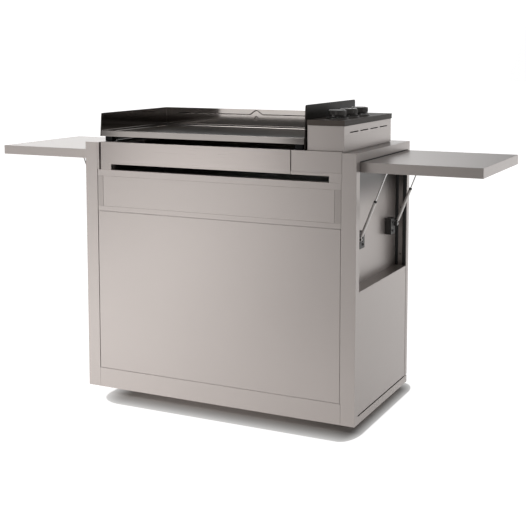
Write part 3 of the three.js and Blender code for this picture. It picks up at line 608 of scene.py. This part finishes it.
# ---- shelves ----
def shelf_details(side):
    """The hems under a shelf, the lip along its hinge and a dark rubber seal there that also paints shade
    into the gap, and two ribs that stiffen it.
    """
    s = SIDES[side]
    low, high = low_high(f"shelf_{side}")
    near, far = 527, 927
    hem, thick, skin = 13, 1.5, 1.4
    y0, y1 = low.y, high.y
    hems = Shape()
    for y in ((y0 + skin, y0 + hem), (y1 - hem, y1 - skin)):
        hems.block((s * (near + 20), s * (far - skin)), y, (low.z, low.z + thick))
    hems.block((s * (far - hem), s * (far - skin)), (y0 + hem - 0.2, y1 - hem + 0.2), (low.z, low.z + thick))
    add_piece(f"shelf_hems_{side}", hems, "cabinet_steel", f"shelf_{side}", 0.3)
    reach = near - 6
    lip = Shape().block((s * (reach - 2), s * (near + 0.1)), (y0, y1), (high.z - skin, high.z))
    for edge, way in ((y0, 1), (y1, -1)):
        lip.block((s * reach, s * (near + 0.1)), (edge, edge + way * thick), (low.z + 2, high.z - 1.2))
    add_piece(f"shelf_lip_{side}", lip, "cabinet_steel", f"shelf_{side}", 0.2)
    # A dark rubber strip on the hinge edge: partly a seal, partly painted shade that darkens the gap line by
    # the cabinet.
    strip = [(-7, -0.1), (2.2, -0.1), (1.6, 0.9), (-6, 1.3)]
    seal = Shape().prism([(s * (near + u), high.z + h) for u, h in strip], "y", y0 + 0.5, y1 - 0.5)
    add_piece(f"shelf_seal_and_shade_{side}", seal, "wheel_rubber", f"shelf_{side}", 0.1)
    roof = high.z - thick
    hat = [(-22, -0.2), (-22, -1.6), (-12, -1.6), (-9, -8.5), (9, -8.5), (12, -1.6), (22, -1.6), (22, -0.2)]
    ribs = Shape()
    for x in (700, 830):
        ribs.prism([(s * (x + u), roof + h) for u, h in hat], "y", y0 + 20, y1 - 20)
    add_piece(f"shelf_ribs_{side}", ribs, "zinc_steel", f"shelf_{side}", 0.4)


# ---- casters: where their stems are, on the rear right one ----
CASTER = {"x": 385, "y": 165}


def caster(end, side):
    """A caster's tyre, hub and axle nuts, and the plate and bearing race over them."""
    s, e = SIDES[side], ENDS[end]
    name = f"{end}_{side}"
    low, high = low_high(f"caster_wheel_{name}")
    hub = ((low.x + high.x) / 2, (low.y + high.y) / 2, (low.z + high.z) / 2)
    tyre = mirrored([(25, -9), (33, -11.4), (35.6, -10.2), (37.0, -7.6), (37.5, -5.0), (37.5, -2.6),
                     (36.2, -2.2), (36.2, -1.2), (37.5, -0.8)])
    add_piece(f"caster_tyre_{name}", Shape().lathe(tyre, "x", hub, 64, closed=True), "wheel_rubber",
              f"caster_wheel_{name}", 0.1, stands_for=f"caster_wheel_{name}")
    core = mirrored([(4.4, -12), (9, -12), (9.6, -11), (10.5, -6), (21, -5), (22.5, -9), (25.5, -9.4)])
    add_piece(f"caster_hub_{name}", Shape().lathe(core, "x", hub, 48, closed=True), "zinc_steel",
              f"caster_wheel_{name}", 0.1)
    nuts = Shape()
    for way in (-1, 1):
        nuts.bolt("x", (hub[0] + way * 17, hub[1], hub[2]), way, 5.4)
    add_piece(f"caster_axle_nuts_{name}", nuts, "zinc_steel", f"caster_fork_{name}", 0.15)
    at = (s * CASTER["x"], e * CASTER["y"])
    turns = [math.tau * i / 40 for i in range(40)]
    half, bore, bolts, under, top = 32, 7, 24, 94.6, 97.2

    def square(z):
        points = []
        for a in turns:
            reach = half / max(abs(math.cos(a)), abs(math.sin(a)))
            points.append((at[0] + reach * math.cos(a), at[1] + reach * math.sin(a), z))
        return points

    def hole(z):
        return [(at[0] + bore * math.cos(a), at[1] + bore * math.sin(a), z) for a in turns]

    plate = Shape().rings([square(under), square(top), hole(top), hole(under)], closed=True)
    for x in (-bolts, bolts):
        for y in (-bolts, bolts):
            plate.bolt("z", (at[0] + x, at[1] + y, under), -1, 3.6)
    add_piece(f"caster_plate_{name}", plate, "zinc_steel", "cabinet", 0.15)
    race = Shape().lathe([(6, 92.2), (19, 92.2), (20.5, 92.8), (20.5, 93.6), (19, 94.2), (6, 94.2)], "z",
                         (*at, 0), 40, closed=True)
    add_piece(f"caster_race_{name}", race, "zinc_steel", "cabinet", 0.1)


# ---- back of the cabinet ----
def back_details():
    """The hoods over the vents, and the screws of the back panel and control housing."""
    low, high = low_high("back_panel")
    face = high.y
    hood = [(-0.2, 11.5), (3.6, 3.6), (3.6, 2.2), (2.6, 2.2), (-0.2, 8.6)]
    half_width = 43
    hoods = Shape()
    for column in (-1.5, -0.5, 0.5, 1.5):
        for row in range(3):
            x, z = column * 110, 130 + row * 24
            hoods.prism([(face + y, z + h) for y, h in hood], "x", x - half_width, x + half_width)
    add_piece("vent_hoods", hoods, "cabinet_steel", "cabinet", 0.3)
    inset, top_inset = 12, 16
    x0, x1, z0, z1 = low.x + inset, high.x - inset, low.z + inset, high.z - top_inset
    screws = Shape()
    for i in range(5):
        for z in (z0, z1):
            screws.screw("y", (x0 + (x1 - x0) * i / 4, face, z), 1, 3.6)
    for x in (x0, x1):
        for i in (1, 2, 3):
            screws.screw("y", (x, face, z0 + (z1 - z0) * i / 4), 1, 3.6)
    add_piece("back_screws", screws, "zinc_steel", "cabinet", 0.1)
    low, high = low_high("control_housing")
    screws = Shape()
    for x in (low.x + inset, high.x - inset):
        for z in (low.z + inset, high.z - inset):
            screws.screw("y", (x, high.y, z), 1, 3.0)
    add_piece("housing_screws", screws, "zinc_steel", "cabinet", 0.1)


def gas_inlet():
    """The hexagon nut and the barbed tail on the manifold's pipe."""
    at = (441, 0, 915)
    end = low_high("gas_manifold")[1].y
    body = [(4.8, -22), (9.4, -22), (10.2, -21.2), (10.2, -13.8), (9.4, -13), (4.8, -13)]
    nut = Shape().lathe([(radius, end + y) for radius, y in body], "y", at, 6, closed=True)
    barbs = [(4.6, end - 12), (6.4, end - 12)]
    for i in range(3):
        start = end - 12 + i * 4
        barbs += [(6.6, start + 0.4), (5.3, start + 3.8)]
    nut.lathe([*barbs, (4.6, end - 0.2)], "y", at, 32, closed=True)
    add_piece("gas_inlet_nut", nut, "brass", "cabinet", 0.15)


# ---- door and drawer ----
def door_details():
    """Two ribs that stiffen the door, and a touch latch with its strike near the top."""
    low, high = low_high("door")
    inner = low.y + 1.5
    middle = (low.z + high.z) / 2
    hat = [(-0.2, -34), (1.3, -34), (1.3, -18), (11, -14), (11, 14), (1.3, 18), (1.3, 34), (-0.2, 34)]
    rib = Shape()
    apart = 160
    for z in (middle - apart, middle + apart):
        rib.prism([(inner + y, z + h) for y, h in hat], "x", low.x + 40, high.x - 24)
    add_piece("door_ribs", rib, "cabinet_steel", "door", 0.5)
    back, x, z = high.y, 400, 673
    strike = Shape().block((x - 12, x + 12), (back - 0.1, back + 0.9), (z - 8, z + 8))
    for way in (-1, 1):
        strike.screw("y", (x + 8 * way, back + 0.8, z), 1, 2.2)
    add_piece("door_strike", strike, "zinc_steel", "door", 0.2)
    latch = Shape().block((x - 8.5, x + 8.5), (back + 8, back + 25.2), (z - 9, z + 11))
    latch.lathe([(3.6, back + 1.2), (4.2, back + 1.8), (4.2, back + 8.5)], "y", (x, 0, z), 24)
    add_piece("touch_latch", latch, "black_bracket", "cabinet", 0.5)


def gap_liners():
    """Folded edges behind the gaps round the door and the drawer front, on the cabinet."""
    door, drawer = low_high("door"), low_high("drawer_front")
    post = low_high("front_top_rail")[1].x
    rail = low_high("front_bottom_rail")[1].z
    near, far, play = door[0].y + 0.9, door[1].y, 0.5
    # Each liner's ends along X, then its foot and its top.
    liners = {
        "side": (door[1].x + play + 0.2, post, rail, drawer[1].z),
        "middle": (door[0].x, post, door[1].z + play, drawer[0].z - play),
        "foot": (door[0].x, door[1].x, rail - 0.1, door[0].z - play),
    }
    for name, (x0, x1, foot, top) in liners.items():
        fold = near + 0.4
        outline = [(x0, fold), (x0 + 0.3, near), (x1 - 0.1, near), (x1, fold), (x1, far), (x0, far)]
        add_piece(f"gap_liner_{name}", Shape().prism(outline, "z", foot, top), "cabinet_steel",
                  "cabinet", 0.05)


def drawer_front_sheets():
    """The drawer front: a framed panel over a plain foot, with fine seams between the folded sheets."""
    low, high = low_high("drawer_front")
    band, foot, seam, skin = 21.5, 17.0, 1.1, 1.4
    front, sheet = low.y, low.y + skin
    x0, x1, z0, z1 = low.x, high.x, low.z, high.z
    shape = Shape()
    shape.block((x0 + 0.8, x1 - 0.8), (sheet - 0.1, sheet + skin), (z0 + 0.8, z1 - 0.8))
    inner = (x0 + band + seam, x1 - band - seam)
    shape.block(inner, (front + 0.25, sheet), (z0 + foot + seam, z1 - band - seam))
    shape.block((x0, x1), (front, sheet), (z0, z0 + foot))
    shape.block((x0, x1), (front, sheet), (z1 - band, z1))
    for x in ((x0, x0 + skin), (x1 - skin, x1)):
        shape.block(x, (sheet + 0.1, high.y), (z0, z1))
    for z in ((z0, z0 + skin), (z1 - skin, z1)):
        shape.block((x0 + 1.3, x1 - 1.3), (sheet + 0.1, high.y), z)
    add_piece("drawer_front_sheets", shape, "cabinet_steel", "drawer", 0.15, stands_for="drawer_front")
    # The side bands are in the darker steel: painted shade on them.
    stiles = Shape()
    for x in ((x0, x0 + band), (x1 - band, x1)):
        stiles.block(x, (front, sheet), (z0 + foot + seam, z1 - band - 0.2))
    add_piece("drawer_stiles", stiles, "shaded_stile_steel", "drawer", 0.15)


def drawer_details():
    """The rolled rim round the drawer box, and the screws that hold its front."""
    half, rear, top, bead = 452, 150, 812, 2
    front = low_high("drawer_front")[1].y
    beads = Shape()
    for s in (-1, 1):
        beads.lathe([(bead, front + 1), (bead, rear)], "y", (s * (half - 1.2), 0, top), 20)
    beads.lathe([(bead, -half + 0.5), (bead, half - 0.5)], "x", (0, rear - 1.2, top), 20)
    add_piece("drawer_rim", beads, "zinc_steel", "drawer", 0.1)
    screws = Shape()
    for x in (-400, -200, 200, 400):
        for z in (722, 790):
            screws.screw("y", (x, front + 1.8, z), 1, 3.2)
    add_piece("drawer_screws", screws, "zinc_steel", "drawer", 0.1)


engraved_guard()
plate_fillet()
plate_seasoning()
plate_baffle()
for place in PLACES:
    knob(place)
for side in SIDES:
    recess_seal(side)
    shelf_details(side)
    for end in ENDS:
        strut(end, side)
        strut_mount_bolts(end, side)
        caster(end, side)
back_details()
gas_inlet()
door_details()
gap_liners()
drawer_front_sheets()
drawer_details()

# ---- stage ----
# Broad glows on the studio walls: their direction, the cosines from it where they fade in and where they are
# full, and their strength.
GLOWS = {
    "front_left": ((-0.77, -0.64, 0.0), 0.955, 0.992, 2.0),
    "back_left": ((-0.58, 0.81, 0.1), 0.86, 0.99, 2.2),
    "back_right": ((0.43, 0.90, 0.0), 0.72, 0.98, 1.0),
    "right": ((1.0, -0.2, 0.1), 0.0, 0.95, 0.2),
    "above": ((0.0, 0.0, 1.0), 0.8, 0.97, 0.8),
}
# The two lamps, in watts.
SOFTBOX = 4.5
FLOOR_WASH = 30.0
# How bright the floor is in reflections: to the operator's left, and to the right close to the cabinet.
# Each fades away in front of the cabinet between two distances.
FLOOR_LEFT = 1.2
FLOOR_LEFT_FADE = (2.2, 4.5)
FLOOR_RIGHT = 0.6
FLOOR_RIGHT_FADE = (0.7, 1.7)
# The shadow painted on the floor round the cabinet: its ends along X and its reach either way along Y.
SHADOW_LEFT = -0.35
SHADOW_RIGHT = 0.49
SHADOW_HALF_DEPTH = 0.24

world = bpy.data.worlds.new("studio")
bpy.context.scene.world = world
world.use_nodes = True
g = Graph(world.node_tree)
direction = g.add("ShaderNodeTexCoord").outputs["Generated"]
light = 0.0
for axis, fade_in, full, strength in GLOWS.values():
    along = g.dot(direction, Vector(axis).normalized())
    light = g.maths("ADD", light, g.span(along, fade_in, full, 0.0, strength))
seen = g.add("ShaderNodeLightPath").outputs["Is Camera Ray"]
g.put(world.node_tree.nodes["Background"].inputs["Strength"], g.maths("MAXIMUM", seen, light))
world.node_tree.nodes["Background"].inputs["Color"].default_value = (1, 1, 1, 1)


def area_light(name, at, aim, size, power):
    """A rectangular lamp aimed at a point."""
    data = bpy.data.lights.new(name, "AREA")
    data.shape = "RECTANGLE"
    data.size, data.size_y = size
    data.energy = power
    lamp = bpy.data.objects.new(name, data)
    lamp.location = at
    lamp.rotation_euler = (Vector(aim) - Vector(at)).to_track_quat("-Z", "Y").to_euler()
    bpy.context.scene.collection.objects.link(lamp)


area_light("front_softbox", (-1.24, -2.4, 0.5), (-0.04, -0.27, 0.5), (1.0, 1.0), SOFTBOX)
area_light("floor_wash", (-0.9, -1.9, 1.9), (-0.9, -1.6, 0.0), (1.2, 1.0), FLOOR_WASH)


def floor_material():
    """A pale floor. The camera sees it white beyond a shadow painted round the cabinet."""
    m = Finish("floor", Roughness=0.9, Specular_IOR_Level=0.1)
    seen = m.add("ShaderNodeLightPath").outputs["Is Camera Ray"]
    pale = m.mix(m.noise(m.at, 1.5), (0.93, 0.93, 0.925, 1), (0.95, 0.95, 0.945, 1))
    # The camera sees a darker floor colour, which deepens the painted shadow; the emission lift brings it
    # back to white further out.
    m.set(Base_Color=m.mix(seen, pale, (0.35, 0.34, 0.33, 1)))
    x, y, _ = m.parts(m.at)

    # How far a point is outside the painted shadow. The shadow fades out twice as fast to the right.
    left = m.maths("SUBTRACT", SHADOW_LEFT, x)
    right = m.maths("MULTIPLY", m.maths("SUBTRACT", x, SHADOW_RIGHT), 2.0)
    beside = m.maths("MAXIMUM", m.maths("MAXIMUM", left, right), 0.0)
    before = m.maths("MAXIMUM", m.maths("SUBTRACT", m.maths("ABSOLUTE", y), SHADOW_HALF_DEPTH), 0.0)
    reach = m.maths("SQRT", m.maths("ADD", m.maths("POWER", beside, 2.0), m.maths("POWER", before, 2.0)))
    lift = m.maths("MAXIMUM", m.span(reach, 0.01, 0.21), m.span(reach, 0.09, 0.11))

    # The floor's glow in reflections. Its left and right parts blend across a broad slanting band at the
    # cabinet's middle.
    across = m.maths("ADD", m.maths("MULTIPLY", x, 0.875), m.maths("MULTIPLY", y, -0.484))
    on_right = m.span(across, -0.5, 0.7)
    on_left = m.maths("SUBTRACT", 1.0, on_right)
    depth = m.maths("MULTIPLY", y, -1.0)
    left_glow = m.maths("MULTIPLY", on_left, m.span(depth, *FLOOR_LEFT_FADE, FLOOR_LEFT, 0.0))
    right_glow = m.maths("MULTIPLY", on_right, m.span(depth, *FLOOR_RIGHT_FADE, FLOOR_RIGHT, 0.0))
    glow = m.maths("MULTIPLY", m.maths("SUBTRACT", 1.0, seen), m.maths("ADD", left_glow, right_glow))
    m.shader.inputs["Emission Color"].default_value = (1, 1, 1, 1)
    m.set(Emission_Strength=m.maths("ADD", m.maths("MULTIPLY", seen, lift), glow))
    return m.material


bpy.ops.mesh.primitive_plane_add(size=80)
floor = bpy.context.object
floor.name = "floor"
floor.data.materials.append(floor_material())

bpy.context.scene.view_settings.view_transform = "Standard"
